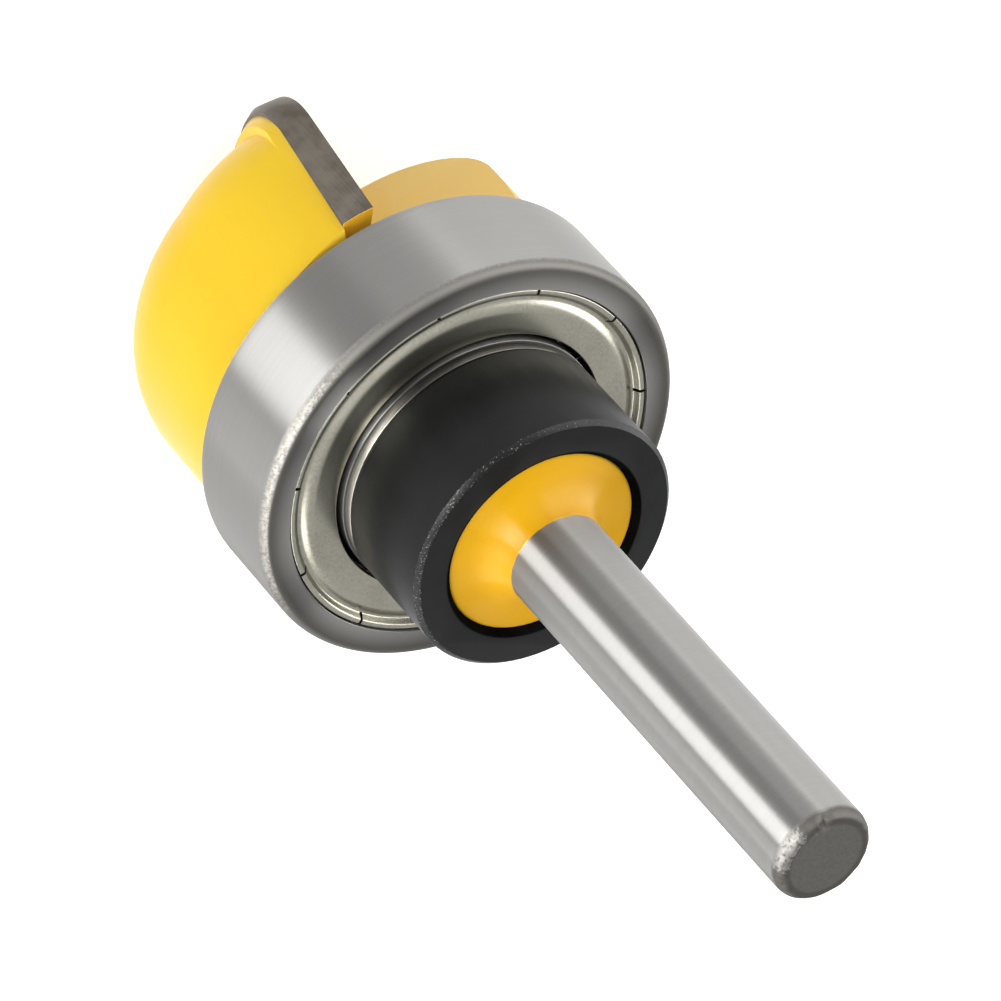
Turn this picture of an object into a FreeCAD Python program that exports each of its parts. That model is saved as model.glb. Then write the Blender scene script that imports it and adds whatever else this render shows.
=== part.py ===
import FreeCAD, Part
import math
import os

# Bowl and tray router bit, in millimetres. The tool turns about Z. Z = 0 is the plane of the
# bottom cutting edges, the shank points up, and the cut runs clockwise seen from the shank.

# Carbide plates
cutting_radius = 14.2875
plate_length = 15.875
corner_radius = 6.35
plate_thickness = 2.0
plate_angle = 72.75
shear_angle = 6.4
rake_angle = 10.0
plate_mid_height = 8.65
plate_width_low = 8.4875
plate_width_high = 4.7875
relief_shift = 1.6
edge_land = 0.03
end_relief = 0.8
end_land = 1.0

# Cutter head
head_set_back = 1.2375
head_bottom = 1.65
lip = 0.5
head_edge = 0.2
wing_set_back = 0.24
wing_lift = 0.05
wing_width = 7.7875
wing_backing = 0.7
wing_limit = 0.0875
wing_edge = 0.275
wing_rounding = (0.25, 0.9)
flank_shift = (1.3, -1.2)
plate_proud = 0.12
gullet_facing = 81.5
gullet_lean = 22.8
gullet_floor = 4.21
gullet_fillet = 1.5
shoulder_radius = 8.3
shoulder_height = 0.35

# Bearing
bore_radius = 6.35
bearing_width = 7.9375
ball_radius = 1.9845
ball_count = 10
ball_clearance = 0.03
raceway_ratio = 1.04
inner_groove_depth = 0.54575
outer_groove_depth = 0.53325
ring_corner = (0.5, 0.8)
mouth_step = 0.65
undercut_depth = 0.3
undercut_top = 0.45
undercut_floor = 0.95

# Cage
cage_inner_gap = 0.6
cage_outer_gap = 0.65
cage_sheet = 0.4
pocket_clearance = 0.1
rivet_radius = 0.35
rivet_clearance = 0.02
rivet_head = 0.62
rivet_head_height = 0.25

# Shields
shield_gap = 0.3
shield_rim_gap = 0.05
bead_gap = 0.1
bead_width = 0.7
valley_width = 0.5
slot_count = 11
slot_width = 0.2
slot_length = 0.75
slot_angle = 79.7

# Boss, washer, collar and shank
slip = 0.012
washer_set_back = 0.15
washer_thickness = 0.6
washer_clearance = 0.025
collar_set_back = 0.03
collar_length = 7.95
collar_break = 0.3
boss_recess = 0.3725
boss_chamfer = 0.24
boss_fillet = 2.0
shank_radius = 3.175
shank_end = 64.0
end_radius = 2.65
end_rounding = 0.8

# Set screw
screw_radius = 1.5
screw_clearance = 0.02
screw_recess = 0.242
screw_chamfer = 0.2
screw_angle = 280.0
hex_across_flats = 1.5
hex_depth = 1.1

z_axis = FreeCAD.Vector(0, 0, 1)
origin = FreeCAD.Vector(0, 0, 0)
head_top = plate_length + lip
bearing_rear = head_top + shoulder_height
bearing_front = bearing_rear + bearing_width
bearing_mid = bearing_rear + bearing_width / 2
outer_radius = cutting_radius
plate_inner_low = cutting_radius - plate_width_low
plate_inner_high = cutting_radius - plate_width_high
wing_inner = cutting_radius - wing_width
head_radius = cutting_radius - head_set_back
pitch_radius = (bore_radius + outer_radius) / 2
inner_land = pitch_radius - ball_radius - ball_clearance + inner_groove_depth
outer_land = pitch_radius + ball_radius + ball_clearance - outer_groove_depth
cage_inner = inner_land + cage_inner_gap
cage_outer = outer_land - cage_outer_gap
face_bore = outer_land + mouth_step
undercut = face_bore + undercut_depth
shield_bore = inner_land + shield_gap
shield_rim = undercut - shield_rim_gap
slot_root = face_bore - slot_length
groove_radius = ball_radius * raceway_ratio
boss_radius = bore_radius - slip
washer_radius = inner_land - washer_set_back
collar_radius = inner_land - collar_set_back
screw_length = collar_radius - boss_radius - screw_recess
collar_rear = bearing_front + washer_thickness
collar_front = collar_rear + collar_length
boss_end = collar_front - boss_recess


def polar(radius, degrees, z=0.0):
    angle = math.radians(degrees)
    return FreeCAD.Vector(radius * math.cos(angle), radius * math.sin(angle), z)


out_dir = polar(1, plate_angle)
back_dir = polar(1, plate_angle + 90)


def arc_to(centre, radius, first, last):
    """Middle and end point of an arc, by its angles in degrees."""
    points = []
    for degrees in ((first + last) / 2, last):
        angle = math.radians(degrees)
        points.append((centre[0] + radius * math.cos(angle), centre[1] + radius * math.sin(angle)))
    return tuple(points)


def outline_face(path, place):
    """Face inside a closed path of points and arcs."""
    edges = []
    here = place(*path[0])
    for step in path[1:] + [path[0]]:
        if isinstance(step[0], tuple):
            middle = place(*step[0])
            end = place(*step[1])
            edges.append(Part.Arc(here, middle, end).toShape())
        else:
            end = place(*step)
            edges.append(Part.makeLine(here, end))
        here = end
    return Part.Face(Part.Wire(edges))


def section(radius, z):
    return FreeCAD.Vector(radius, 0, z)


def turned(path):
    return outline_face(path, section).revolve(origin, z_axis, 360)


def half_turn(shape):
    twin = shape.copy()
    twin.rotate(origin, z_axis, 180)
    return twin


def flipped(shape):
    """The same shape on the other side of the bearing's middle plane."""
    twin = shape.copy()
    twin.rotate(FreeCAD.Vector(0, 0, bearing_mid), FreeCAD.Vector(1, 0, 0), 180)
    return twin


def fused(shapes):
    return shapes[0].multiFuse(shapes[1:])


def plate_front(x, z):
    shear = math.tan(math.radians(shear_angle)) * (z - plate_mid_height)
    rake = math.tan(math.radians(rake_angle)) * (cutting_radius - x)
    return shear + rake


def slab(offset, thickness):
    """Space between two planes parallel to the plate's front face."""
    def place(x, z):
        return out_dir * x + back_dir * (plate_front(x, z) + offset) + z_axis * z

    face = outline_face([(-5, -6), (22, -6), (22, 26), (-5, 26)], place)
    return face.extrude(back_dir * thickness)


def crosswise(path):
    """Prism that runs straight back from the cutting edge."""
    def place(x, z):
        return out_dir * x - back_dir * 8 + z_axis * z

    return outline_face(path, place).extrude(back_dir * 18)


def relieved(path):
    """Prism that runs back and up from the cutting edge, so that the lower end clears the cut."""
    def place(x, z):
        return out_dir * x + back_dir * (end_land - 8) + z_axis * (z - 8 * end_relief)

    return outline_face(path, place).extrude((back_dir + z_axis * end_relief) * 18)


def cutter_outline(radius, bottom, top, inner_low, inner_high):
    centre = (radius - corner_radius, bottom + corner_radius)
    corner = arc_to(centre, corner_radius, -90, 0)
    return [(inner_low, bottom), (centre[0], bottom), corner, (radius, top), (inner_high, top)]


def relief_body():
    """Turned about an axis set ahead of the plate, so that the flank falls away behind the edge."""
    radius = math.hypot(cutting_radius, relief_shift) + edge_land
    centre = (radius - corner_radius, corner_radius - edge_land)
    path = [(0, -6), (centre[0], centre[1] - corner_radius), arc_to(centre, corner_radius, -90, 0)]
    path += [(radius, 26), (0, 26)]
    body = turned(path)
    middle = z_axis * plate_mid_height
    body.rotate(middle, out_dir, -shear_angle)
    body.translate(back_dir * -relief_shift)
    return body


def carbide_plate():
    outline = cutter_outline(cutting_radius, 0, plate_length, plate_inner_low, plate_inner_high)
    plate = crosswise(outline).common(slab(0, plate_thickness))
    centre = (cutting_radius - corner_radius, corner_radius)
    corner = arc_to(centre, corner_radius, -90, 0)
    circle = turned([(0, 0), (centre[0], 0), corner, (cutting_radius, 20), (0, 20)])
    end = relieved(cutter_outline(cutting_radius, 0, plate_length + 5, 0, 0))
    return plate.common(circle).common(relief_body()).common(end)


def plate_pocket():
    slope = (plate_inner_high - plate_inner_low) / plate_length
    top = head_top + 1
    path = [(plate_inner_low - slope, -1), (17, -1), (17, top), (plate_inner_low + slope * top, top)]
    return crosswise(path).common(slab(-2, plate_thickness + 2))


def wing():
    """Steel behind a plate: a backing down to its lower end, and a flank at the head's own height.
    Both are turned about an axis set ahead of the plate, so that they fall away to the head."""
    axis = out_dir * flank_shift[0] + back_dir * flank_shift[1]
    corner = (head_radius - corner_radius, head_bottom + corner_radius)
    path = [(0, head_bottom), (corner[0], head_bottom), arc_to(corner, corner_radius, -90, 0)]
    path += [(head_radius, head_top + 1), (0, head_top + 1)]
    flank = turned(path)
    flank.translate(axis)
    drum = Part.makeCylinder(head_radius, head_top + 3, axis - z_axis)
    outline = cutter_outline(cutting_radius - wing_set_back, wing_lift, head_top + 5, wing_inner, wing_inner)
    backing = relieved(outline).common(slab(-0.5, plate_thickness + wing_backing + 0.5)).common(drum)
    limit = cutting_radius - wing_limit
    rounding = (limit - wing_rounding[0], head_top - wing_edge)
    reach = [(0, -1), (limit, -1), (limit, plate_length - wing_edge)]
    reach += [(rounding, (limit - wing_rounding[1], head_top)), (0, head_top)]
    return backing.fuse(flank.common(slab(-0.5, 16))).common(turned(reach))


def gullet():
    """Wedge cut by the floor plane and the plate's seat plane, with a fillet between them."""
    lean = math.radians(gullet_lean)
    floor = polar(math.cos(lean), gullet_facing, -math.sin(lean))
    shear = math.tan(math.radians(shear_angle))
    rake = math.tan(math.radians(rake_angle))
    seat = out_dir * -rake - back_dir + z_axis * shear
    seat_level = -rake * cutting_radius - plate_proud
    seat_level = seat_level / seat.Length
    seat.normalize()
    along = floor.cross(seat)
    along.normalize()
    mix = floor.dot(seat)
    a = (gullet_floor - mix * seat_level) / (1 - mix * mix)
    b = (seat_level - mix * gullet_floor) / (1 - mix * mix)
    root = floor * a + seat * b + z_axis * plate_mid_height
    on_floor = seat - floor * mix
    on_floor.normalize()
    on_seat = floor - seat * mix
    on_seat.normalize()
    half = on_floor.getAngle(on_seat) / 2
    middle = on_floor + on_seat
    middle.normalize()
    run = gullet_fillet / math.tan(half)
    dip = gullet_fillet / math.sin(half) - gullet_fillet
    start = root - along * 30
    near_floor = start + on_floor * run
    near_seat = start + on_seat * run
    far_floor = start + on_floor * 30
    far_seat = start + on_seat * 30
    edges = [
        Part.makeLine(far_floor, near_floor),
        Part.Arc(near_floor, start + middle * dip, near_seat).toShape(),
        Part.makeLine(near_seat, far_seat),
        Part.makeLine(far_seat, far_floor),
    ]
    return Part.Face(Part.Wire(edges)).extrude(along * 60)


def turned_blank():
    corner = (head_radius - corner_radius, head_bottom + corner_radius)
    fillet = (shank_radius + boss_fillet, boss_end + boss_fillet)
    path = [(0, head_bottom), (corner[0], head_bottom), arc_to(corner, corner_radius, -90, 0)]
    path += [(head_radius, head_top - head_edge), (head_radius - head_edge, head_top)]
    path += [(shoulder_radius, head_top), (shoulder_radius, bearing_rear), (boss_radius, bearing_rear)]
    path += [(boss_radius, boss_end - boss_chamfer), (boss_radius - boss_chamfer, boss_end)]
    path += [(fillet[0], boss_end), arc_to(fillet, boss_fillet, 270, 180)]
    start = shank_end - end_rounding
    nose = (end_radius + 0.7 * (shank_radius - end_radius), start + 0.65 * end_rounding)
    path += [(shank_radius, start), nose, (end_radius, shank_end), (0, shank_end)]
    return turned(path)


def bit_body():
    body = turned_blank()
    pad = wing()
    body = fused([body, pad, half_turn(pad)])
    for cut in (gullet(), plate_pocket()):
        body = body.cut(cut).cut(half_turn(cut))
    return body.removeSplitter()


def groove(centre, side):
    """Middle and end of a raceway arc, from the rear land to the front land."""
    land = inner_land if side < 0 else outer_land
    rise = math.sqrt(groove_radius ** 2 - (land - centre) ** 2)
    start = (land, bearing_mid - rise)
    return start, ((centre + side * groove_radius, bearing_mid), (land, bearing_mid + rise))


def inner_ring():
    edge = 0.35
    start, raceway = groove(pitch_radius - ball_radius - ball_clearance + groove_radius, -1)
    path = [(bore_radius, bearing_rear + edge), (bore_radius + edge, bearing_rear)]
    path += [(inner_land, bearing_rear), start, raceway, (inner_land, bearing_front)]
    path += [(bore_radius + edge, bearing_front), (bore_radius, bearing_front - edge)]
    return turned(path)


def outer_ring():
    start, raceway = groove(pitch_radius + ball_radius + ball_clearance - groove_radius, 1)
    inset, drop = ring_corner
    mid = (outer_radius - 0.25 * inset, 0.3 * drop)
    path = [start, raceway]
    path += [(outer_land, bearing_front - undercut_floor), (undercut, bearing_front - undercut_floor)]
    path += [(undercut, bearing_front - undercut_top), (face_bore, bearing_front - undercut_top)]
    path += [(face_bore, bearing_front), (outer_radius - inset, bearing_front)]
    path += [(mid[0], bearing_front - mid[1]), (outer_radius, bearing_front - drop)]
    path += [(outer_radius, bearing_rear + drop), (mid[0], bearing_rear + mid[1])]
    path += [(outer_radius - inset, bearing_rear)]
    path += [(face_bore, bearing_rear), (face_bore, bearing_rear + undercut_top)]
    path += [(undercut, bearing_rear + undercut_top), (undercut, bearing_rear + undercut_floor)]
    path += [(outer_land, bearing_rear + undercut_floor)]
    return turned(path)


def shield():
    """Pressed shield: flat web, valley, curled bead and a rim on the ring's shoulder."""
    def at(radius, depth):
        return (radius, bearing_front - depth)

    bead = face_bore - bead_gap
    crest = bead - bead_width / 2
    valley = crest - valley_width
    web = valley - 1.1 * valley_width
    path = [at(shield_bore, 0.2), at(web, 0.25), at(valley, 0.55), at(crest, 0.15), at(bead, 0.3)]
    path += [at(bead, 0.65), at(shield_rim, 0.65), at(shield_rim, undercut_floor)]
    path += [at(valley, 0.85), at(web - 0.05, 0.55), at(shield_bore, 0.5)]
    plate = turned(path)
    for index in range(slot_count):
        slot = Part.makeBox(2, slot_width, 2, FreeCAD.Vector(slot_root, -slot_width / 2, bearing_front - 1.5))
        slot.rotate(origin, z_axis, slot_angle + index * 360 / slot_count)
        plate = plate.cut(slot)
    return plate


def ball_centre(index):
    return polar(pitch_radius, index * 360 / ball_count, bearing_mid)


def ball(index):
    """Ball drawn with flat facets 30 degrees apart, their corners on the true sphere."""
    centre = ball_centre(index)
    rings = []
    for rise in range(-75, 90, 30):
        level = ball_radius * math.sin(math.radians(rise))
        reach = ball_radius * math.cos(math.radians(rise))
        rings.append([centre + polar(reach, 30 * step, level) for step in range(13)])
    outlines = [rings[0], rings[-1]]
    for lower, upper in zip(rings, rings[1:]):
        for step in range(12):
            outlines.append([lower[step], lower[step + 1], upper[step + 1], upper[step], lower[step]])
    facets = [Part.Face(Part.makePolygon(outline)) for outline in outlines]
    return Part.makeSolid(Part.makeShell(facets))


def band(bottom, top):
    """Ring as wide as the cage."""
    return turned([(cage_inner, bottom), (cage_outer, bottom), (cage_outer, top), (cage_inner, top)])


def eight_sided(radius, bottom, top):
    corners = [polar(radius, 45 * index, bottom) for index in range(9)]
    return Part.Face(Part.makePolygon(corners)).extrude(z_axis * (top - bottom))


def rivet_place(index):
    return polar(pitch_radius, (index + 0.5) * 360 / ball_count, bearing_mid)


def fold(index, size):
    """Half an octagon around a ball, run through the cage from inside to outside."""
    angle = index * 360 / ball_count
    side = polar(1, angle + 90)

    def place(across, up):
        return polar(cage_inner - 1, angle, bearing_mid) + side * across + z_axis * up

    corner = size * math.tan(math.radians(22.5))
    path = [(size, -1), (size, corner), (corner, size), (-corner, size), (-size, corner), (-size, -1)]
    return outline_face(path, place).extrude(polar(cage_outer - cage_inner + 2, angle))


def cage_half():
    pocket = ball_radius + pocket_clearance
    folds = [fold(index, pocket + cage_sheet) for index in range(ball_count)]
    humps = band(bearing_mid, bearing_mid + 4).common(Part.makeCompound(folds))
    half = fused([band(bearing_mid, bearing_mid + cage_sheet)] + humps.Solids)
    for index in range(ball_count):
        hole = eight_sided(rivet_radius + rivet_clearance, -1, 1)
        hole.translate(rivet_place(index))
        half = half.cut(fold(index, pocket)).cut(hole)
    return half.removeSplitter()


def cage_rivets():
    """Ten small rivets, eight-sided like their holes."""
    top = cage_sheet + rivet_head_height
    shaft = eight_sided(rivet_radius, -cage_sheet, cage_sheet)
    heads = [eight_sided(rivet_head, cage_sheet, top), eight_sided(rivet_head, -top, -cage_sheet)]
    rivet = fused([shaft] + heads)
    rivets = []
    for index in range(ball_count):
        copy = rivet.copy()
        copy.translate(rivet_place(index))
        rivets.append(copy)
    return Part.makeCompound(rivets)


def shim_washer():
    hole = bore_radius + washer_clearance
    path = [(hole, bearing_front), (washer_radius, bearing_front), (washer_radius, collar_rear), (hole, collar_rear)]
    return turned(path)


def stop_collar():
    edge = collar_break
    path = [(bore_radius, collar_rear + edge), (bore_radius + edge, collar_rear)]
    path += [(collar_radius - edge, collar_rear), (collar_radius, collar_rear + edge)]
    path += [(collar_radius, collar_front - edge), (collar_radius - edge, collar_front)]
    path += [(bore_radius + edge, collar_front), (bore_radius, collar_front - edge)]
    height = (collar_rear + collar_front) / 2
    hole = Part.makeCylinder(screw_radius, 12, z_axis * height, polar(1, screw_angle))
    return turned(path).cut(hole)


def set_screw():
    radius = screw_radius - screw_clearance
    path = [(0, 0), (radius - screw_chamfer, 0), (radius, screw_chamfer)]
    path += [(radius, screw_length - screw_chamfer), (radius - screw_chamfer, screw_length), (0, screw_length)]
    corner = hex_across_flats / math.sqrt(3)
    corners = [polar(corner, 60 * index, screw_length - hex_depth) for index in range(7)]
    socket = Part.Face(Part.makePolygon(corners)).extrude(z_axis * 3)
    screw = turned(path).cut(socket)
    screw.rotate(origin, FreeCAD.Vector(0, 1, 0), 90)
    screw.translate(FreeCAD.Vector(boss_radius, 0, (collar_rear + collar_front) / 2))
    screw.rotate(origin, z_axis, screw_angle)
    return screw


def save(name, shape):
    shape.exportStep("parts/" + name + ".step")


os.makedirs("parts", exist_ok=True)
tip = carbide_plate()
front_shield = shield()
front_cage = cage_half()
save("bit_body", bit_body())
save("carbide_tip_a", tip)
save("carbide_tip_b", half_turn(tip))
save("bearing_inner_ring", inner_ring())
save("bearing_outer_ring", outer_ring())
save("shield_front", front_shield)
save("shield_rear", flipped(front_shield))
for number in range(ball_count):
    save("ball_%02d" % (number + 1), ball(number))
save("cage_half_front", front_cage)
save("cage_half_rear", flipped(front_cage))
save("cage_rivets", cage_rivets())
save("shim_washer", shim_washer())
save("stop_collar", stop_collar())
save("set_screw", set_screw())
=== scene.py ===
import math

import bmesh
import bpy
import numpy as np
from mathutils import Matrix


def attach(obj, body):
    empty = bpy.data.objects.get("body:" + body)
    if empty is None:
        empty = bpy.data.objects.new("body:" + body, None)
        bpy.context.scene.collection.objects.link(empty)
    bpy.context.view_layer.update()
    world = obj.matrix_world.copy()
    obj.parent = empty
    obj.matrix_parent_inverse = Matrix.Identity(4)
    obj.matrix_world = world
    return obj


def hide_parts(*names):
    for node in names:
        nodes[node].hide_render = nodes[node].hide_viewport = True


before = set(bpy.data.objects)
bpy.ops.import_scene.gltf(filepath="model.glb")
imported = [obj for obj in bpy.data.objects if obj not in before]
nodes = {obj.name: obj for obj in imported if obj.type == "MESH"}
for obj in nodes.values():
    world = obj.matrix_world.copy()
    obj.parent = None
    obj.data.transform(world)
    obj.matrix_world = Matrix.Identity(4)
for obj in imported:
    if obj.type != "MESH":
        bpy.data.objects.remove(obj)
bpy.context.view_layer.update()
mm = 0.001
print("frame loaded with", len(nodes), "nodes")


# A CAD node's extent in millimetres: radii from Z, lowest and highest point, the middle of its box, and
# how far its farthest corner lies from there
def measured(node):
    mesh = nodes[node].data
    flat = np.empty(len(mesh.vertices) * 3, np.float32)
    mesh.vertices.foreach_get("co", flat)
    spots = flat.reshape(-1, 3).astype(float) / mm
    radii = np.hypot(spots[:, 0], spots[:, 1])
    low, high = spots.min(0), spots.max(0)
    centre = (low + high) / 2
    reach = np.linalg.norm(spots - centre, axis=1).max()
    return dict(inner=round(radii.min(), 4), outer=round(radii.max(), 4), rear=round(low[2], 4),
                front=round(high[2], 4), centre=centre, reach=round(reach, 4))


ringSpan = measured("bearing_outer_ring")
collarSpan = measured("stop_collar")
bitSpan = measured("bit_body")
bearingMiddle = (ringSpan["rear"] + ringSpan["front"]) / 2


# sRGB to linear: c / 12.92 up to 0.04045, and ((c + 0.055) / 1.055) to the power 2.4 above it
def hexColour(code):
    parts = [int(code[i:i + 2], 16) / 255 for i in (1, 3, 5)]
    return tuple(c / 12.92 if c <= 0.04045 else ((c + 0.055) / 1.055) ** 2.4 for c in parts) + (1.0,)


def addNode(tree, kind, settings, sockets):
    node = tree.nodes.new("ShaderNode" + kind)
    for name, value in settings.items():
        setattr(node, name, value)
    for name, value in sockets.items():
        if isinstance(value, bpy.types.NodeSocket):
            tree.links.new(value, node.inputs[name])
        else:
            node.inputs[name].default_value = value
    return node


colourMix = {"data_type": "RGBA"}  # its colours are inputs 6 and 7, and output 2


def newMaterial(name):
    material = bpy.data.materials.new(name)
    material.use_nodes = True
    tree = material.node_tree
    tree.nodes.clear()
    place = addNode(tree, "TexCoord", {}, {}).outputs["Object"]
    return material, tree, place


def finishMaterial(tree, settings):
    shader = addNode(tree, "BsdfPrincipled", {}, settings)
    addNode(tree, "OutputMaterial", {}, {"Surface": shader.outputs["BSDF"]})


# Tone between a dark and a light colour, in proportion to where a pattern lies between low and high
def toned(tree, pattern, low, high, look):
    share = addNode(tree, "MapRange", {}, {"Value": pattern, "From Min": low, "From Max": high}).outputs[0]
    return addNode(tree, "Mix", colourMix, {"Factor": share, 6: hexColour(look["dark"]),
                                            7: hexColour(look["light"])}).outputs[2]


# Distance from the Z axis, the root of x squared plus y squared, and the height
def radiusOf(tree, place):
    flat = addNode(tree, "VectorMath", {"operation": "MULTIPLY"}, {0: place, 1: (1, 1, 0)}).outputs[0]
    radius = addNode(tree, "VectorMath", {"operation": "LENGTH"}, {0: flat}).outputs["Value"]
    return radius, addNode(tree, "SeparateXYZ", {}, {"Vector": place}).outputs["Z"]


# Dot product of the flat unit direction from the axis with one azimuth, spread from low to high
def sideMask(tree, place, azimuth, low, high):
    a = math.radians(azimuth)
    flat = addNode(tree, "VectorMath", {"operation": "MULTIPLY"}, {0: place, 1: (1, 1, 0)}).outputs[0]
    flat = addNode(tree, "VectorMath", {"operation": "NORMALIZE"}, {0: flat}).outputs[0]
    dot = addNode(tree, "VectorMath", {"operation": "DOT_PRODUCT"},
                  {0: flat, 1: (math.cos(a), math.sin(a), 0)}).outputs["Value"]
    return addNode(tree, "MapRange", {}, {"Value": dot, "From Min": low, "From Max": high}).outputs[0]


# Paint on the head: polyester powder, baked, so it is glossy, ripples faintly and lies round over edges
# The edge colour is a painted highlight along the head's top edge; the boss and plate end colours are this
# paint drawn darker and oranger, painted shade
paint = dict(dark="#FFCC0E", light="#FFD412", edge="#FFCB3A", boss="#F5BA0E", plateEndShade="#F2B20E",
             rippleMm=1.6, cloudMm=9, edgeFrom=16.14, edgeTo=16.32, edgeEnd=16.5, roughness=0.28)


# Two close yellows in wide clouds, and a paler band at the head's top edge, between edgeFrom and edgeEnd: a
# painted highlight where the rounded edge catches the light
def powderPaint():
    material, tree, place = newMaterial("bakedPowderPaint")
    ripple = addNode(tree, "TexNoise", {}, {"Vector": place, "Scale": 1 / (paint["rippleMm"] * mm),
                                            "Detail": 2.0, "Roughness": 0.5}).outputs["Fac"]
    cloud = addNode(tree, "TexNoise", {}, {"Vector": place, "Scale": 1 / (paint["cloudMm"] * mm),
                                           "Detail": 2.0}).outputs["Fac"]
    tone = toned(tree, cloud, 0.35, 0.65, paint)
    height = addNode(tree, "SeparateXYZ", {}, {"Vector": place}).outputs["Z"]
    above = addNode(tree, "MapRange", {}, {"Value": height, "From Min": paint["edgeFrom"] * mm,
                                           "From Max": paint["edgeTo"] * mm}).outputs[0]
    below = addNode(tree, "MapRange", {}, {"Value": height, "From Min": (paint["edgeEnd"] + 0.1) * mm,
                                           "From Max": paint["edgeEnd"] * mm}).outputs[0]
    # Painted highlight: the paler band along the head's top edge
    edgeHighlight = addNode(tree, "Math", {"operation": "MULTIPLY"}, {0: above, 1: below}).outputs[0]
    tone = addNode(tree, "Mix", colourMix, {"Factor": edgeHighlight, 6: tone, 7: hexColour(paint["edge"])}).outputs[2]
    bump = addNode(tree, "Bump", {}, {"Height": ripple, "Strength": 0.25, "Distance": 0.03 * mm})
    finishMaterial(tree, {"Base Color": tone, "Roughness": paint["roughness"], "IOR": 1.5,
                          "Normal": bump.outputs["Normal"], "Specular IOR Level": 0.32})
    return material


# Ground steel: turned, then ground between centres, so fine lines run round it and highlights stretch
# along it. Real lines are near 0.02 mm, too fine for the picture, so they are drawn coarser.
ground = dict(dark="#71706E", light="#757472", lineMm=0.16, aroundMm=14, patchMm=3.5, roughness=0.36,
              stretch=1.0)
# Inner ring: the same ground steel drawn darker, painted shade where it lies behind the collar and shields
innerSteelShaded = dict(dark="#484745", light="#52514E", lineMm=0.16, roughness=0.36, stretch=0.8)
# Washer: drawn darker still, painted shade, and brighter on one side, a painted highlight
washerSteelShadedAndLit = dict(dark="#2E2D2B", light="#4C4A47", lineMm=0.3, roughness=0.36, stretch=0.6, highlightAt=165)
# Balls are lapped after grinding, so they are near mirrors
ballSteel = dict(dark="#B9B8B6", light="#C6C5C3", lineMm=0.5, roughness=0.08, stretch=0.0)

# Bearing ring: its front corner is tumbled matt and pitted, and drawn darker, painted shade; on one side the
# pits are drawn bright, a painted highlight; and the front face is drawn darker than the ground outside,
# painted shade
ringWearAndLight = dict(corner="#53514E", highlight="#827F7A", face="#504E4B", pitMm=0.22, highlightAt=148, highlightReach=60,
            cornerFrom=38.40, cornerTo=38.62, faceFrom=24.60, faceTo=24.65, roughness=0.62)


# Noise squeezed along Z, so that it lies in thin rings round the axis
def grindLines(tree, place, lineMm, aroundMm):
    scale = (1 / (aroundMm * mm), 1 / (aroundMm * mm), 1 / (lineMm * mm))
    squeezed = addNode(tree, "Mapping", {}, {"Vector": place, "Scale": scale}).outputs["Vector"]
    return addNode(tree, "TexNoise", {}, {"Vector": squeezed, "Scale": 1.0, "Detail": 3.0,
                                          "Roughness": 0.65}).outputs["Fac"]


# Ending of a ground material: highlights stretch across the lines, which run round Z
def finishGround(tree, settings):
    around = addNode(tree, "Tangent", {"direction_type": "RADIAL", "axis": "Z"}, {}).outputs["Tangent"]
    finishMaterial(tree, {**settings, "Anisotropic Rotation": 0.25, "Tangent": around})


# Ground steel with faint patches; where the look names a side, that side is drawn brighter, a painted
# highlight
def groundSteel(name, look):
    material, tree, place = newMaterial(name)
    lines = grindLines(tree, place, look["lineMm"], ground["aroundMm"])
    patches = addNode(tree, "TexNoise", {}, {"Vector": place, "Scale": 1 / (ground["patchMm"] * mm),
                                             "Detail": 4.0, "Roughness": 0.6}).outputs["Fac"]
    mixed = addNode(tree, "Math", {"operation": "MULTIPLY_ADD"}, {0: patches, 1: 0.35, 2: lines}).outputs[0]
    tone = toned(tree, mixed, 0.45, 0.95, look)
    if "highlightAt" in look:
        side = sideMask(tree, place, look["highlightAt"], 0.35, 0.8)
        tone = addNode(tree, "Mix", colourMix, {"Factor": side, 6: tone,
                                                7: hexColour(ringWearAndLight["highlight"])}).outputs[2]
    rough = addNode(tree, "MapRange", {}, {"Value": lines, "From Min": 0.3, "From Max": 0.7,
                                           "To Min": look["roughness"] - 0.01,
                                           "To Max": look["roughness"] + 0.01}).outputs[0]
    bump = addNode(tree, "Bump", {}, {"Height": lines, "Strength": 0.02, "Distance": 0.01 * mm})
    finishGround(tree, {"Base Color": tone, "Metallic": 1.0, "Roughness": rough,
                        "Anisotropic": look["stretch"], "Normal": bump.outputs["Normal"]})
    return material
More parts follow.
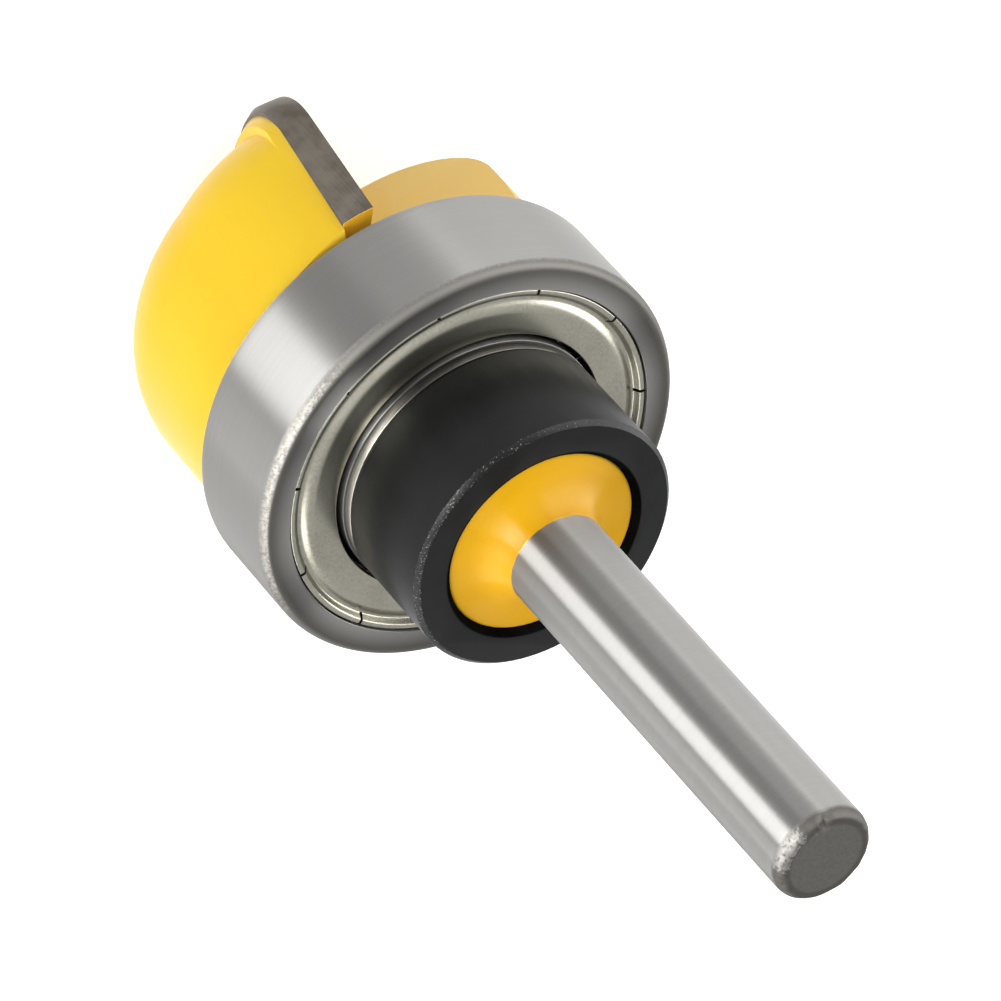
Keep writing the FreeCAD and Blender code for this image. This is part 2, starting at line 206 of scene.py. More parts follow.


# Ground steel. Where radius plus height passes the corner's line it turns matt and darker, painted shade,
# and on one side noise breaks that into bright pits, a painted highlight. From the face's height on the tone
# is darker, painted shade.
def ringSteelWornAndShaded():
    material, tree, place = newMaterial("groundBearingSteelWornCornerPaintedLight")
    lines = grindLines(tree, place, ground["lineMm"], ground["aroundMm"])
    tone = toned(tree, lines, 0.3, 0.75, ground)
    radius, height = radiusOf(tree, place)
    diagonal = addNode(tree, "Math", {"operation": "ADD"}, {0: radius, 1: height}).outputs[0]
    pits = addNode(tree, "TexNoise", {}, {"Vector": place, "Scale": 1 / (ringWearAndLight["pitMm"] * mm), "Detail": 3.0,
                                          "Roughness": 0.7}).outputs["Fac"]
    ragged = addNode(tree, "Math", {"operation": "MULTIPLY_ADD"},
                     {0: pits, 1: 0.3 * mm, 2: diagonal}).outputs[0]
    reach = addNode(tree, "MapRange", {}, {"Value": ragged, "From Min": ringWearAndLight["cornerFrom"] * mm,
                                           "From Max": ringWearAndLight["cornerTo"] * mm}).outputs[0]
    highlight = sideMask(tree, place, ringWearAndLight["highlightAt"], math.cos(math.radians(ringWearAndLight["highlightReach"])), 0.95)
    broken = addNode(tree, "Math", {"operation": "MULTIPLY"}, {0: highlight, 1: pits}).outputs[0]
    bright = addNode(tree, "MapRange", {}, {"Value": broken, "From Min": 0.3, "From Max": 0.6}).outputs[0]
    # Painted shade on the corner, with pits drawn bright on one side as a painted highlight
    cornerTone = addNode(tree, "Mix", colourMix, {"Factor": bright, 6: hexColour(ringWearAndLight["corner"]),
                                            7: hexColour(ringWearAndLight["highlight"])}).outputs[2]
    tone = addNode(tree, "Mix", colourMix, {"Factor": reach, 6: tone, 7: cornerTone}).outputs[2]
    # Painted shade: the front face drawn darker
    front = addNode(tree, "MapRange", {}, {"Value": height, "From Min": ringWearAndLight["faceFrom"] * mm,
                                           "From Max": ringWearAndLight["faceTo"] * mm}).outputs[0]
    tone = addNode(tree, "Mix", colourMix, {"Factor": front, 6: tone, 7: hexColour(ringWearAndLight["face"])}).outputs[2]
    rough = addNode(tree, "MapRange", {}, {"Value": reach, "To Min": ground["roughness"],
                                           "To Max": ringWearAndLight["roughness"]}).outputs[0]
    stretch = addNode(tree, "MapRange", {}, {"Value": reach, "To Min": ground["stretch"],
                                             "To Max": 0.0}).outputs[0]
    bump = addNode(tree, "Bump", {}, {"Height": pits, "Strength": 0.03, "Distance": 0.01 * mm})
    finishGround(tree, {"Base Color": tone, "Metallic": 1.0, "Roughness": rough, "Anisotropic": stretch,
                        "Normal": bump.outputs["Normal"]})
    return material


# Shields and cage: cold rolled strip, pressed, so it is satin with a faint grain
sheet = dict(dark="#858377", light="#969488", grainMm=0.2, cloudMm=4, roughness=0.26)
cageStrip = dict(dark="#7C7A76", light="#9C9A95", grainMm=0.2, cloudMm=4, roughness=0.38)


# Fine noise for the strip's grain over a wide cloud
def rolledSheet(name, look):
    material, tree, place = newMaterial(name)
    grain = addNode(tree, "TexNoise", {}, {"Vector": place, "Scale": 1 / (look["grainMm"] * mm),
                                           "Detail": 4.0, "Roughness": 0.7}).outputs["Fac"]
    cloud = addNode(tree, "TexNoise", {}, {"Vector": place, "Scale": 1 / (look["cloudMm"] * mm),
                                           "Detail": 2.0}).outputs["Fac"]
    mixed = addNode(tree, "Math", {"operation": "MULTIPLY_ADD"}, {0: cloud, 1: 0.8, 2: grain}).outputs[0]
    bump = addNode(tree, "Bump", {}, {"Height": grain, "Strength": 0.2, "Distance": 0.01 * mm})
    finishMaterial(tree, {"Base Color": toned(tree, mixed, 0.6, 1.0, look), "Metallic": 1.0,
                          "Roughness": look["roughness"], "Normal": bump.outputs["Normal"]})
    return material


# Carbide: sintered, then ground along the edge, so it is a dull warm grey with clouds and faint lines
carbide = dict(dark="#4C4740", light="#625D56", lineMm=0.12, alongMm=6, lineTurn=17, cloudMm=2.2,
               roughness=0.42, paintFrom=15.84)


# Cloud plus faint lines along the edge. Above paintFrom, the plate's top end keeps the head's paint, drawn
# darker and oranger, painted shade under the bearing.
def groundCarbide():
    material, tree, place = newMaterial("groundSinteredCarbide")
    across = 1 / (carbide["lineMm"] * mm)
    turned = addNode(tree, "Mapping", {}, {"Vector": place,
                                           "Rotation": (0, 0, math.radians(carbide["lineTurn"])),
                                           "Scale": (across, across, 1 / (carbide["alongMm"] * mm))})
    lines = addNode(tree, "TexNoise", {}, {"Vector": turned.outputs["Vector"], "Scale": 1.0,
                                           "Detail": 3.0}).outputs["Fac"]
    cloud = addNode(tree, "TexNoise", {}, {"Vector": place, "Scale": 1 / (carbide["cloudMm"] * mm),
                                           "Detail": 3.0}).outputs["Fac"]
    faint = addNode(tree, "Math", {"operation": "MULTIPLY"}, {0: lines, 1: 0.35}).outputs[0]
    mixed = addNode(tree, "Math", {"operation": "MULTIPLY_ADD"}, {0: cloud, 1: 1.3, 2: faint}).outputs[0]
    height = addNode(tree, "SeparateXYZ", {}, {"Vector": place}).outputs["Z"]
    end = addNode(tree, "Math", {"operation": "GREATER_THAN"},
                  {0: height, 1: carbide["paintFrom"] * mm}).outputs[0]
    tone = addNode(tree, "Mix", colourMix, {"Factor": end, 6: toned(tree, mixed, 0.62, 1.0, carbide),
                                            7: hexColour(paint["plateEndShade"])}).outputs[2]
    bare = addNode(tree, "Math", {"operation": "SUBTRACT"}, {0: 1.0, 1: end}).outputs[0]
    bump = addNode(tree, "Bump", {}, {"Height": lines, "Strength": 0.12, "Distance": 0.01 * mm})
    finishMaterial(tree, {"Base Color": tone, "Metallic": bare, "Roughness": carbide["roughness"],
                          "Normal": bump.outputs["Normal"]})
    return material


# Black oxide: turned steel blackened in a hot bath, satin, rubbed through to bright specks on the front
# edge. The real film's grain is too fine to show, so the specks are drawn coarser.
oxide = dict(dark="#0C0D0D", light="#131414", bare="#A5A49F", cloudMm=2.5, speckMm=0.13, specksLitAt=130,
             chamfer=0.3, boreTo=6.78, lineMm=0.22, aroundMm=20, shine=0.16, roughness=0.36)


# Near black cloud. On the collar, fine noise bares the front edge where radius plus height passes the
# chamfer's line, most on one side, where the extra bright specks are a painted highlight, and the chamfer at
# the bore stays black.
def blackOxide(name, bared):
    material, tree, place = newMaterial(name)
    cloud = addNode(tree, "TexNoise", {}, {"Vector": place, "Scale": 1 / (oxide["cloudMm"] * mm),
                                           "Detail": 4.0}).outputs["Fac"]
    tone = toned(tree, cloud, 0.35, 0.65, oxide)
    shine = oxide["shine"]
    if bared:
        radius, height = radiusOf(tree, place)
        diagonal = addNode(tree, "Math", {"operation": "ADD"}, {0: radius, 1: height}).outputs[0]
        specks = addNode(tree, "TexNoise", {}, {"Vector": place, "Scale": 1 / (oxide["speckMm"] * mm),
                                                "Detail": 3.0, "Roughness": 0.75}).outputs["Fac"]
        # Painted highlight: a few more bright specks on the lit side
        side = sideMask(tree, place, oxide["specksLitAt"], -0.6, 1.0)
        specks = addNode(tree, "Math", {"operation": "MULTIPLY_ADD"}, {0: side, 1: 0.12, 2: specks})
        ragged = addNode(tree, "Math", {"operation": "MULTIPLY_ADD"},
                         {0: specks.outputs[0], 1: 1.2 * mm, 2: diagonal}).outputs[0]
        edge = (collarSpan["front"] + collarSpan["outer"] - oxide["chamfer"]) * mm
        reach = addNode(tree, "MapRange", {}, {"Value": ragged, "From Min": edge + 0.84 * mm,
                                               "From Max": edge + 0.94 * mm}).outputs[0]
        tone = addNode(tree, "Mix", colourMix, {"Factor": reach, 6: tone,
                                                7: hexColour(oxide["bare"])}).outputs[2]
        inside = addNode(tree, "MapRange", {}, {"Value": radius, "From Min": (oxide["boreTo"] - 0.1) * mm,
                                                "From Max": oxide["boreTo"] * mm,
                                                "To Max": oxide["shine"]}).outputs[0]
        dulled = addNode(tree, "MapRange", {}, {"Value": diagonal, "From Min": edge - 0.02 * mm,
                                                "From Max": edge + 0.02 * mm, "To Min": 1.0,
                                                "To Max": 0.3}).outputs[0]
        shine = addNode(tree, "Math", {"operation": "MULTIPLY"}, {0: inside, 1: dulled}).outputs[0]
    lines = grindLines(tree, place, oxide["lineMm"], oxide["aroundMm"])
    bump = addNode(tree, "Bump", {}, {"Height": lines, "Strength": 0.1, "Distance": 0.01 * mm})
    finishMaterial(tree, {"Base Color": tone, "Specular IOR Level": shine, "Roughness": oxide["roughness"],
                          "Normal": bump.outputs["Normal"]})
    return material


def placedObject(name, mesh, material):
    mesh.materials.append(material)
    piece = bpy.data.objects.new(name, mesh)
    bpy.context.scene.collection.objects.link(piece)
    return piece


def meshObject(name, points, faces, material, smooth=True):
    mesh = bpy.data.meshes.new(name)
    mesh.from_pydata(points.tolist(), [], faces)
    mesh.polygons.foreach_set("use_smooth", np.full(len(mesh.polygons), smooth))
    mesh.update()
    return placedObject(name, mesh, material)


# Path through corner points. A corner with a third value becomes a curve between the two points that lie
# that far from it, the quadratic blend (1-t)^2 a + 2t(1-t) corner + t^2 b.
def roundPath(corners, steps=6):
    spots = np.array([c[:2] for c in corners], float)
    path = []
    for i, corner in enumerate(corners):
        here = spots[i]
        reach = corner[2] if len(corner) > 2 else 0
        if not reach:
            path.append(here[None])
            continue
        before = spots[i - 1] - here
        after = spots[(i + 1) % len(spots)] - here
        a = here + before / np.linalg.norm(before) * reach
        b = here + after / np.linalg.norm(after) * reach
        t = np.linspace(0, 1, steps)[:, None]
        path.append((1 - t) ** 2 * a + 2 * t * (1 - t) * here + t ** 2 * b)
    return np.concatenate(path)


# Points centre + radius (cos a, sin a) for angles a from first to last
def arcPath(centre, radius, first, last, steps):
    a = np.radians(np.linspace(first, last, steps))
    return np.stack([centre[0] + radius * np.cos(a), centre[1] + radius * np.sin(a)], 1)


# Quads of a grid whose columns close round the axis, and whose rows close too if asked
def gridFaces(rows, columns, closedRows):
    last = rows if closedRows else rows - 1
    i, j = np.meshgrid(np.arange(last), np.arange(columns), indexing="ij")
    down, right = (i + 1) % rows, (j + 1) % columns
    quads = np.stack([i * columns + j, i * columns + right, down * columns + right, down * columns + j], -1)
    return quads.reshape(-1, 4).tolist()


# Surface of revolution: radius r and height z from the path, angle a round Z, at (r cos a, r sin a, z).
# An open path ends near the axis, and each end is closed with one point on it.
def turnedPiece(name, path, material, steps, closed=True, change=None):
    a = np.linspace(0, 2 * np.pi, steps, endpoint=False)
    r, z = path[:, 0][:, None] * mm, path[:, 1][:, None] * mm
    grid = np.stack([r * np.cos(a), r * np.sin(a), z + 0 * a], -1)
    if change:
        grid = change(grid)
    rows = len(path)
    points = grid.reshape(-1, 3)
    faces = gridFaces(rows, steps, closed)
    if not closed:
        points = np.concatenate([points, grid[:1].mean(1), grid[-1:].mean(1)])
        ring = np.arange(steps)
        after = (ring + 1) % steps
        first, last, base = rows * steps, rows * steps + 1, (rows - 1) * steps
        faces += np.stack([ring * 0 + first, after, ring], 1).tolist()
        faces += np.stack([ring * 0 + last, base + ring, base + after], 1).tolist()
    return meshObject(name, points, faces, material)


# Bearing outer ring: ground outside, crimp groove for the shields, raceway inside
outerRing = dict(inset=0.5, drop=0.8, mouth=12.45, mouthRound=0.08, undercut=12.75, undercutTop=0.45,
                 undercutFloor=0.95, grooveCentre=10.26935, grooveRadius=2.06388, steps=240, sharpFrom=28)


# Closed section: raceway arc, land, undercut and mouth, then the outside's corners as quarter ellipses.
# The rear half mirrors the front one.
def outerRingPath(s):
    land, front = ringSpan["inner"], ringSpan["front"]
    flip, shift = [1, -1], [0, 2 * bearingMiddle]
    rise = math.degrees(math.asin(math.sqrt(s["grooveRadius"] ** 2 - (land - s["grooveCentre"]) ** 2)
                                  / s["grooveRadius"]))
    race = arcPath((s["grooveCentre"], bearingMiddle), s["grooveRadius"], -rise, rise, 17)
    mouth = roundPath([(land, front - s["undercutFloor"]), (s["undercut"], front - s["undercutFloor"]),
                       (s["undercut"], front - s["undercutTop"]), (s["mouth"], front - s["undercutTop"]),
                       (s["mouth"], front, s["mouthRound"])])
    t = np.linspace(0, np.pi / 2, 9)
    corner = np.stack([ringSpan["outer"] - s["inset"] * (1 - np.sin(t)),
                       front - s["drop"] * (1 - np.cos(t))], 1)
    return np.concatenate([race, mouth, corner, corner[::-1] * flip + shift, (mouth * flip + shift)[::-1]])


ringSection = outerRingPath(outerRing)[::-1]  # turned round, so that the faces point outwards
ringPiece = turnedPiece("outerRing", ringSection, ringSteelWornAndShaded(), outerRing["steps"])
ringPiece.data.set_sharp_from_angle(angle=math.radians(outerRing["sharpFrom"]))
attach(ringPiece, "outer_ring")
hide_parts("bearing_outer_ring")

# Shields: flat web, valley, curled bead and rim, with crimping slots through the bead. Each corner of the
# two outlines is radius, depth below the ring's face, and how far its round fold reaches.
shieldShape = dict(slots=11, slotWidth=0.22, slotRoot=11.68, slotDepth=0.87, slotAngle=79.7, beadAt=12.2,
                   sharpFrom=35, mergeMm=0.0005,
                   outside=[(9.15, 0.26, 0.05), (9.2, 0.2, 0.04), (10.95, 0.24, 0.35), (11.5, 0.57, 0.16),
                            (11.72, 0.57, 0.12), (11.97, 0.13, 0.12), (12.35, 0.13, 0.2), (12.35, 0.65),
                            (12.7, 0.65, 0.08), (12.7, 0.95)],
                   inside=[(12.05, 0.95), (12.05, 0.5, 0.12), (11.82, 0.88, 0.12), (11.35, 0.88, 0.16),
                           (10.86, 0.54, 0.35), (9.15, 0.5)])


# Section carried round Z. Inside a slot the bead is drawn back to the slot's root, and each slot edge has
# two columns at one angle, so the cut walls are upright. The rear shield is the front one turned over.
def shieldPiece(name, s, material, rear):
    outside, inside = roundPath(s["outside"], 7), roundPath(s["inside"], 7)
    half = math.degrees(s["slotWidth"] / 2 / s["beadAt"])
    pitch = 360 / s["slots"]
    angles, inSlot = [], []
    for k in range(s["slots"]):
        middle = s["slotAngle"] + pitch * k
        between = np.linspace(middle + half, middle + pitch - half, 20)[1:-1].tolist()
        angles += [middle - half, middle - half, middle + half, middle + half] + between
        inSlot += [0, 1, 1, 0] + [0] * len(between)
    a = np.radians(angles)
    path = np.concatenate([outside, inside])
    web = outside[:30]  # web and valley, where radii still rise
    rootDepth = np.interp(s["slotRoot"], web[:, 0], web[:, 1])
    level = np.concatenate([np.full(len(outside), rootDepth), np.full(len(inside), s["slotDepth"])])
    cut = np.array(inSlot, bool) & (path[:, :1] > s["slotRoot"])
    r = np.where(cut, s["slotRoot"], path[:, :1])
    z = ringSpan["front"] - np.where(cut, level[:, None], path[:, 1:])
    grid = np.stack([r * np.cos(a), r * np.sin(a), z], -1) * mm
    if rear:
        grid = grid * [1, -1, -1] + [0, 0, 2 * bearingMiddle * mm]
    faces = np.array(gridFaces(len(path), len(a), True))[:, ::-1].tolist()  # facing outwards
    piece = meshObject(name, grid.reshape(-1, 3), faces, material)
    shape = bmesh.new()
    shape.from_mesh(piece.data)
    bmesh.ops.remove_doubles(shape, verts=shape.verts, dist=s["mergeMm"] * mm)
    bmesh.ops.dissolve_degenerate(shape, edges=shape.edges, dist=s["mergeMm"] * mm)
    shape.to_mesh(piece.data)
    shape.free()
    piece.data.set_sharp_from_angle(angle=math.radians(s["sharpFrom"]))
    return piece


shieldSheet = rolledSheet("coldRolledShieldSheet", sheet)
for name, node, rear in (("shieldFront", "shield_front", False), ("shieldRear", "shield_rear", True)):
    piece = shieldPiece(name, shieldShape, shieldSheet, rear)
    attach(piece, "outer_ring")
    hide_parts(node)
print("bearing shell ready")

# Boss and shank: turned as one with the head. The paint ends on the fillet, and the end is dented.
# The bright chip colour is a painted highlight on the lit side of the end's rim
shank = dict(start=16.5, seat=8.3, boss=6.338, bossEnd=32.84, chamfer=0.24, radius=3.175, fillet=2.0,
             endRadius=2.65, endDrop=0.8, paintTo=34.55, raggedMm=0.9, steps=220, sharpFrom=40, seed=7,
             waves=9, waveDeep=0.07, dents=22, dark="#4C4A47", light="#575552", rim="#42403D",
             chipGlint="#6C6A67", chipMm=0.22, chipGlintAt=128, roughness=0.6)


# Open section from the axis, out over the shoulder and boss, up the fillet and shank, back to the axis
def shankPath(s):
    end, shoulder = bitSpan["front"], ringSpan["rear"]
    foot = np.array([(0.05, s["start"]), (s["seat"], s["start"]), (s["seat"], shoulder),
                     (s["boss"], shoulder)])
    edge = roundPath([(s["boss"], s["bossEnd"] - 1), (s["boss"], s["bossEnd"], s["chamfer"]),
                      (s["radius"] + s["fillet"] + 0.3, s["bossEnd"])])
    centre = (s["radius"] + s["fillet"], s["bossEnd"] + s["fillet"])
    fillet = arcPath(centre, s["fillet"], 270, 180, 25)
    heights = np.linspace(centre[1] + 0.3, end - s["endDrop"] - 0.4, 40)
    length = np.stack([np.full(40, s["radius"]), heights], 1)
    t = np.linspace(0, np.pi / 2, 10)
    span = s["radius"] - s["endRadius"]
    nose = np.stack([s["radius"] - span * (1 - np.cos(t)) ** 0.9, end - s["endDrop"] * (1 - np.sin(t))], 1)
    face = np.stack([np.linspace(s["endRadius"], 0.1, 14)[1:], np.full(13, end)], 1)
    return np.concatenate([foot, edge, fillet, length, nose, face])


# Sawn and tumbled end: heights move by waveDeep times the mean of sines of x and y, and the rim is
# dented by round pits, depth times exp(-distance squared over width squared), at seeded places
def chippedEnd(grid):
    end = bitSpan["front"]
    dice = np.random.default_rng(shank["seed"])
    x, y, z = grid[..., 0] / mm, grid[..., 1] / mm, grid[..., 2] / mm
    near = np.clip((z - end + 1.1) / 0.9, 0, 1)
    wave = sum(np.sin(dice.uniform(2, 9) * x + dice.uniform(2, 9) * y + dice.uniform(0, 6))
               for _ in range(shank["waves"])) / shank["waves"]
    drop = shank["waveDeep"] * wave * near
    for _ in range(shank["dents"]):
        a = dice.uniform(0.9, 3.3)
        rho, wide, deep = dice.uniform(2.5, 3.1), dice.uniform(0.12, 0.3), dice.uniform(0.05, 0.13)
        away = (x - rho * np.cos(a)) ** 2 + (y - rho * np.sin(a)) ** 2
        drop = drop - deep * np.exp(-away / wide ** 2) * near
    drop = np.minimum(drop, np.clip(end - z, 0, None))
    grid = grid.copy()
    grid[..., 2] += drop * mm
    return grid


# Ground steel above paintTo, with an edge made ragged by noise, powder paint below it, drawn darker and
# oranger than the head's, painted shade.
# The end is dull, darker on its rim, and noise leaves bright flecks on one side of the rim, a painted
# highlight on the chipped edge.
def shankMaterial(s):
    end = bitSpan["front"]
    material, tree, place = newMaterial("groundShankSteelAndPaintEdge")
    radius, height = radiusOf(tree, place)
    noise = addNode(tree, "TexNoise", {}, {"Vector": place, "Scale": 1 / (s["raggedMm"] * mm),
                                           "Detail": 3.0}).outputs["Fac"]
    ragged = addNode(tree, "Math", {"operation": "MULTIPLY_ADD"}, {0: noise, 1: 0.2 * mm, 2: height})
    bare = addNode(tree, "MapRange", {}, {"Value": ragged.outputs[0], "From Min": (s["paintTo"] + 0.2) * mm,
                                          "From Max": (s["paintTo"] + 0.26) * mm}).outputs[0]
    atEnd = addNode(tree, "MapRange", {}, {"Value": ragged.outputs[0], "From Min": (end - 0.75) * mm,
                                           "From Max": (end - 0.45) * mm}).outputs[0]
    lines = grindLines(tree, place, ground["lineMm"], 5)
    chips = addNode(tree, "TexNoise", {}, {"Vector": place, "Scale": 1 / (s["chipMm"] * mm), "Detail": 4.0,
                                           "Roughness": 0.7}).outputs["Fac"]
    rim = addNode(tree, "MapRange", {}, {"Value": radius, "From Min": 2.3 * mm,
                                         "From Max": 2.5 * mm}).outputs[0]
    dull = addNode(tree, "Mix", colourMix, {"Factor": rim, 6: toned(tree, chips, 0.35, 0.75, s),
                                            7: hexColour(s["rim"])}).outputs[2]
    side = sideMask(tree, place, s["chipGlintAt"], 0.7, 0.95)
    side = addNode(tree, "Math", {"operation": "MULTIPLY"}, {0: rim, 1: side}).outputs[0]
    broken = addNode(tree, "Math", {"operation": "MULTIPLY"}, {0: side, 1: chips}).outputs[0]
    bright = addNode(tree, "MapRange", {}, {"Value": broken, "From Min": 0.38, "From Max": 0.5}).outputs[0]
    dull = addNode(tree, "Mix", colourMix, {"Factor": bright, 6: dull,
                                            7: hexColour(s["chipGlint"])}).outputs[2]
    steel = addNode(tree, "Mix", colourMix, {"Factor": atEnd, 6: toned(tree, lines, 0.3, 0.75, ground),
                                             7: dull}).outputs[2]
    # Boss paint: the head's paint drawn darker and oranger, painted shade
    tone = addNode(tree, "Mix", colourMix, {"Factor": bare, 6: hexColour(paint["boss"]),
                                            7: steel}).outputs[2]
    rough = addNode(tree, "MapRange", {}, {"Value": atEnd, "To Min": ground["roughness"],
                                           "To Max": s["roughness"]}).outputs[0]
    stretch = addNode(tree, "MapRange", {}, {"Value": atEnd, "To Min": ground["stretch"],
                                             "To Max": 0.0}).outputs[0]
    faint = addNode(tree, "Math", {"operation": "MULTIPLY"}, {0: lines, 1: 0.02}).outputs[0]
    ripple = addNode(tree, "Math", {"operation": "MULTIPLY_ADD"}, {0: chips, 1: atEnd, 2: faint}).outputs[0]
    bump = addNode(tree, "Bump", {}, {"Height": ripple, "Strength": 0.3, "Distance": 0.02 * mm})
    finishGround(tree, {"Base Color": tone, "Metallic": bare, "Roughness": rough, "Anisotropic": stretch,
                        "Normal": bump.outputs["Normal"], "Specular IOR Level": 0.18})
    return material


shankPiece = turnedPiece("bossAndShank", shankPath(shank), shankMaterial(shank), shank["steps"], False,
                         chippedEnd)
shankPiece.data.set_sharp_from_angle(angle=math.radians(shank["sharpFrom"]))
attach(shankPiece, "bit")


# Copy of a CAD node, same form, its loose triangles merged and flat stretches joined, with each sharp
# edge rounded. Where cutAt is given, it is cut off level at that height and closed there.
def softened(name, node, body, material, roundMm, mergeMm=0.001, cutAt=None):
    shape = bmesh.new()
    shape.from_mesh(nodes[node].data)
    bmesh.ops.remove_doubles(shape, verts=shape.verts, dist=mergeMm * mm)
    if cutAt is not None:
        whole = shape.verts[:] + shape.edges[:] + shape.faces[:]
        cut = bmesh.ops.bisect_plane(shape, geom=whole, plane_co=(0, 0, cutAt * mm), plane_no=(0, 0, 1),
                                     clear_outer=True)
        loop = [e for e in cut["geom_cut"] if isinstance(e, bmesh.types.BMEdge)]
        bmesh.ops.contextual_create(shape, geom=loop)
    bmesh.ops.dissolve_limit(shape, angle_limit=math.radians(0.5), verts=shape.verts, edges=shape.edges)
    mesh = bpy.data.meshes.new(name)
    shape.to_mesh(mesh)
    shape.free()
    mesh.polygons.foreach_set("use_smooth", np.ones(len(mesh.polygons), bool))
    piece = placedObject(name, mesh, material)
    bevel = piece.modifiers.new("softEdges", "BEVEL")
    bevel.width = roundMm * mm
    bevel.segments = 3
    bevel.limit_method = "ANGLE"
    bevel.angle_limit = math.radians(24)
    bevel.harden_normals = True
    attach(piece, body)
    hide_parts(node)


edgeMm = dict(head=0.2, plate=0.04, collar=0.1, screw=0.05, innerRing=0.06, washer=0.05, cage=0.04)

# Head: the milled bowl, its edges rounded by the paint, cut off where the boss and shank take over
softened("cutterHead", "bit_body", "bit", powderPaint(), edgeMm["head"], 0.002,
         shank["start"])
print("bit ready")

plateMaterial = groundCarbide()
for node in ("carbide_tip_a", "carbide_tip_b"):
    softened(node + "Ground", node, "bit", plateMaterial, edgeMm["plate"])
collarMaterial = blackOxide("blackOxideCollar", True)
softened("stopCollar", "stop_collar", "bit", collarMaterial, edgeMm["collar"])
screwMaterial = blackOxide("blackOxideScrew", False)
softened("setScrew", "set_screw", "bit", screwMaterial, edgeMm["screw"])
innerMaterial = groundSteel("groundInnerRingSteelPaintedShade", innerSteelShaded)
softened("innerRing", "bearing_inner_ring", "bit", innerMaterial, edgeMm["innerRing"])
washerMaterial = groundSteel("washerSteelPaintedShadeAndHighlight", washerSteelShadedAndLit)
softened("shimWasher", "shim_washer", "bit", washerMaterial, edgeMm["washer"])
cageMaterial = rolledSheet("pressedCageStrip", cageStrip)
cageParts = {"cageFront": "cage_half_front", "cageRear": "cage_half_rear", "rivets": "cage_rivets"}
for name, node in cageParts.items():
    softened(name, node, "ball_cage", cageMaterial, edgeMm["cage"])

# Balls: truly round, where the CAD balls have flat facets with their corners on the sphere
ball = dict(count=10, rows=21, steps=36)
ballMaterial = groundSteel("lappedBallSteel", ballSteel)
for i in range(1, ball["count"] + 1):
    span = measured("ball_%02d" % i)
    profile = arcPath((0, 0), span["reach"], -87, 87, ball["rows"])
    piece = turnedPiece("roundBall%02d" % i, profile, ballMaterial, ball["steps"], False,
                        lambda grid: grid + span["centre"] * mm)
    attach(piece, "ball_%02d" % i)
    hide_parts("ball_%02d" % i)
print("parts dressed")

# Studio: white floor and surroundings, three soft lamps, and four cards that only reflections see
studio = dict(floorHalf=3.0, floorTone=0.8, glow=0.7, world=0.5, aimHeight=0.028)
lamps = [
    dict(name="softLeft", azimuth=168, elevation=16, distance=0.55, wide=0.25, tall=0.5, watts=2.2),
    dict(name="softRight", azimuth=25, elevation=28, distance=0.6, wide=0.5, tall=0.5, watts=1.1),
    dict(name="softTop", azimuth=110, elevation=70, distance=0.7, wide=0.6, tall=0.6, watts=0.5),
]
cards = [
    dict(name="stripLeft", azimuth=132, elevation=20, distance=0.55, wide=0.31, tall=0.55, watts=10.5),
    dict(name="cardLeft", azimuth=202, elevation=20, distance=0.55, wide=0.5, tall=0.5, watts=3.6),
    dict(name="cardMid", azimuth=62, elevation=20, distance=0.6, wide=0.5, tall=0.5, watts=1.8),
    dict(name="cardRight", azimuth=5, elevation=20, distance=0.6, wide=1.2, tall=0.5, watts=12),
]
white = (1.0, 1.0, 1.0, 1.0)


# 1 for rays that come from the camera, off a glossy surface or through a clear one, else 0
def seenRays(tree):
    path = addNode(tree, "LightPath", {}, {}).outputs
    seen = addNode(tree, "Math", {"operation": "MAXIMUM"},
                   {0: path["Is Camera Ray"], 1: path["Is Glossy Ray"]})
    return addNode(tree, "Math", {"operation": "MAXIMUM"},
                   {0: seen.outputs[0], 1: path["Is Transmission Ray"]}).outputs[0]


# Matt white paper, with a glow for the seen rays that lifts it to white and leaves the shadow on it
def floorMaterial():
    material, tree, _ = newMaterial("matteWhitePaper")
    power = addNode(tree, "Math", {"operation": "MULTIPLY"},
                    {0: seenRays(tree), 1: studio["glow"]}).outputs[0]
    tone = (studio["floorTone"],) * 3 + (1.0,)
    paper = addNode(tree, "BsdfDiffuse", {}, {"Color": tone}).outputs[0]
    glow = addNode(tree, "Emission", {}, {"Color": white, "Strength": power}).outputs[0]
    both = addNode(tree, "AddShader", {}, {0: paper, 1: glow}).outputs[0]
    addNode(tree, "OutputMaterial", {}, {"Surface": both})
    return material


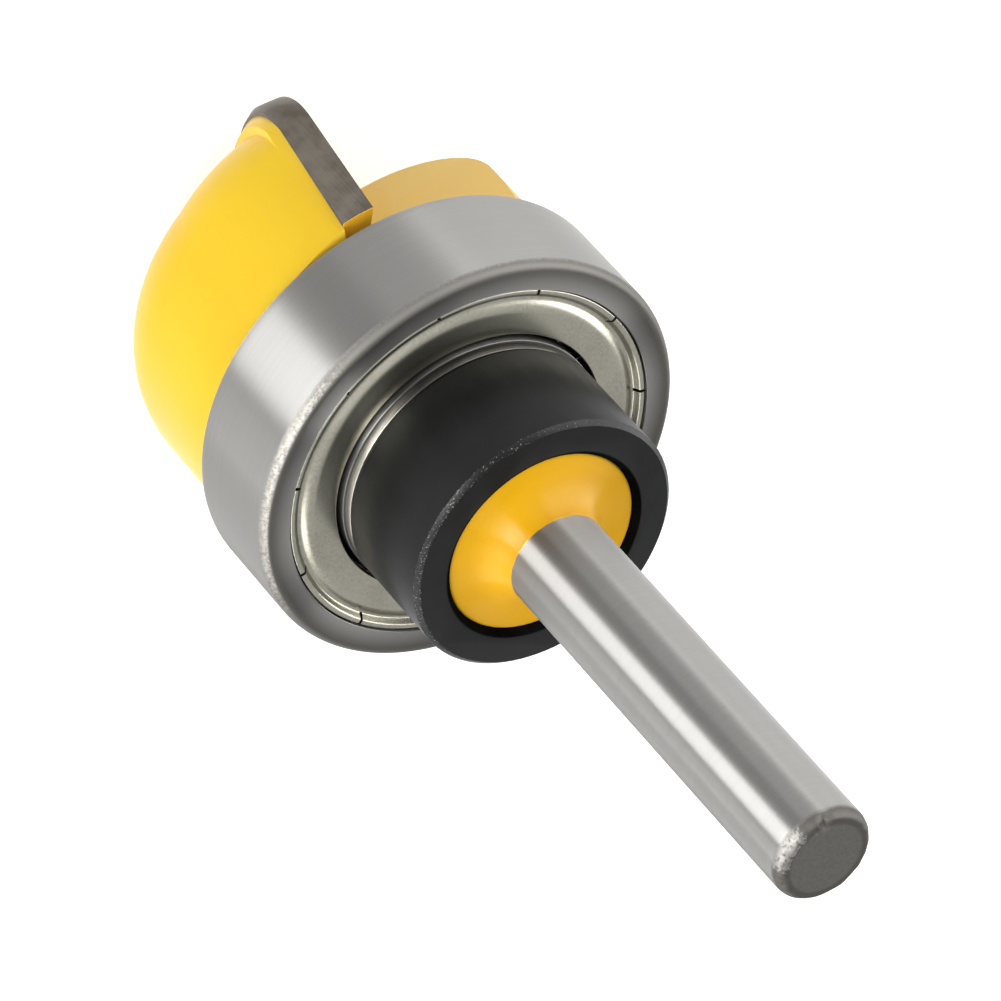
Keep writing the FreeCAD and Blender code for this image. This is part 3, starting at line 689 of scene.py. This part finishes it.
half = studio["floorHalf"]
floorPoints = np.array([(-half, -half, 0), (half, -half, 0), (half, half, 0), (-half, half, 0)])
floor = meshObject("floor", floorPoints, [(0, 1, 2, 3)], floorMaterial(), False)

world = bpy.data.worlds.new("studioWorld")
bpy.context.scene.world = world
world.use_nodes = True
sky = world.node_tree
sky.nodes.clear()
level = addNode(sky, "MapRange", {}, {"Value": seenRays(sky), "To Min": studio["world"], "To Max": 1.0})
shade = addNode(sky, "Background", {}, {"Color": white, "Strength": level.outputs["Result"]})
addNode(sky, "OutputWorld", {}, {"Surface": shade.outputs[0]})


# Rectangular lamp at an azimuth and elevation round the aim point, turned to face it
def areaLamp(lamp, diffuse):
    a, e = math.radians(lamp["azimuth"]), math.radians(lamp["elevation"])
    back = np.array([math.cos(a) * math.cos(e), math.sin(a) * math.cos(e), math.sin(e)])
    side = np.cross([0, 0, 1], back)
    side = side / np.linalg.norm(side)
    turn = np.identity(4)
    turn[:3, 0], turn[:3, 1], turn[:3, 2] = side, np.cross(back, side), back
    turn[:3, 3] = np.array([0, 0, studio["aimHeight"]]) + back * lamp["distance"]
    light = bpy.data.lights.new(lamp["name"], "AREA")
    light.shape = "RECTANGLE"
    light.size, light.size_y = lamp["wide"], lamp["tall"]
    light.energy = lamp["watts"]
    holder = bpy.data.objects.new(lamp["name"], light)
    holder.matrix_world = Matrix(turn.tolist())
    holder.visible_diffuse = diffuse
    bpy.context.scene.collection.objects.link(holder)


for lamp in lamps:
    areaLamp(lamp, True)
for card in cards:
    areaLamp(card, False)

# Camera: fitted to the photo from the bearing, shank and collar circles
cameraFit = dict(place=(-0.05727042, 0.32122158, 0.30315596), turn=(-41.452755, -30.742209, -19.981636),
                 lens=257.73, film=36)
lens = bpy.data.cameras.new("photoCamera")
lens.lens = cameraFit["lens"]
lens.sensor_width = cameraFit["film"]
lens.clip_start = 0.02
camera = bpy.data.objects.new("photoCamera", lens)
camera.location = cameraFit["place"]
camera.rotation_euler = [math.radians(v) for v in cameraFit["turn"]]
bpy.context.scene.collection.objects.link(camera)
bpy.context.scene.camera = camera
bpy.context.scene.view_settings.view_transform = "Standard"
print("stage ready")
